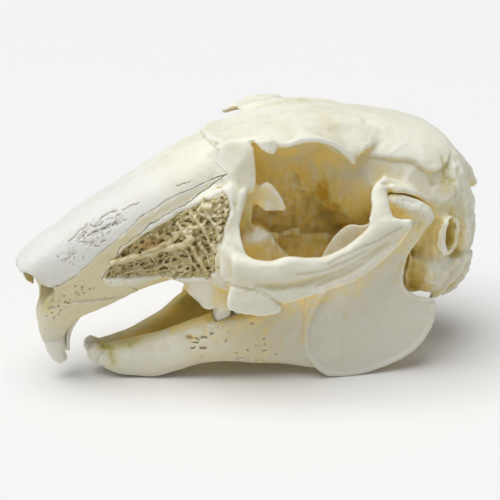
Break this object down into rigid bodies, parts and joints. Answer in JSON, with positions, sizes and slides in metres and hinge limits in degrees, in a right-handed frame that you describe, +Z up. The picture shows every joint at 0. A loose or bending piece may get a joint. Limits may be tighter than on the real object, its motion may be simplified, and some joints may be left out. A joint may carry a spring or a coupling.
{
  "type": "cottontail rabbit skull",
  "caption": "Dry rabbit skull resting on its lower jaw, with open cheek arches, a pitted snout, curved front teeth and rows of cheek teeth.",
  "frame": {"origin": "middle of the footprint, on the surface that the lower jaw rests on", "axes": "+X towards the back of the head, +Y towards the skull's right side, +Z up"},
  "size_m": [0.074, 0.0348, 0.04],
  "materials": {
    "bone": "matte",
    "tooth": "satin"
  },
  "bodies": {
    "root": {"cranium": "bone", "mandible_left": "bone", "mandible_right": "bone", "upper_incisor_left": "tooth", "peg_incisor_left": "tooth", "lower_incisor_left": "tooth", "upper_p2_left": "tooth", "upper_p3_left": "tooth", "upper_p4_left": "tooth", "upper_m1_left": "tooth", "upper_m2_left": "tooth", "upper_m3_left": "tooth", "lower_p3_left": "tooth", "lower_p4_left": "tooth", "lower_m1_left": "tooth", "lower_m2_left": "tooth", "lower_m3_left": "tooth", "upper_incisor_right": "tooth", "peg_incisor_right": "tooth", "lower_incisor_right": "tooth", "upper_p2_right": "tooth", "upper_p3_right": "tooth", "upper_p4_right": "tooth", "upper_m1_right": "tooth", "upper_m2_right": "tooth", "upper_m3_right": "tooth", "lower_p3_right": "tooth", "lower_p4_right": "tooth", "lower_m1_right": "tooth", "lower_m2_right": "tooth", "lower_m3_right": "tooth"}
  },
  "joints": []
}
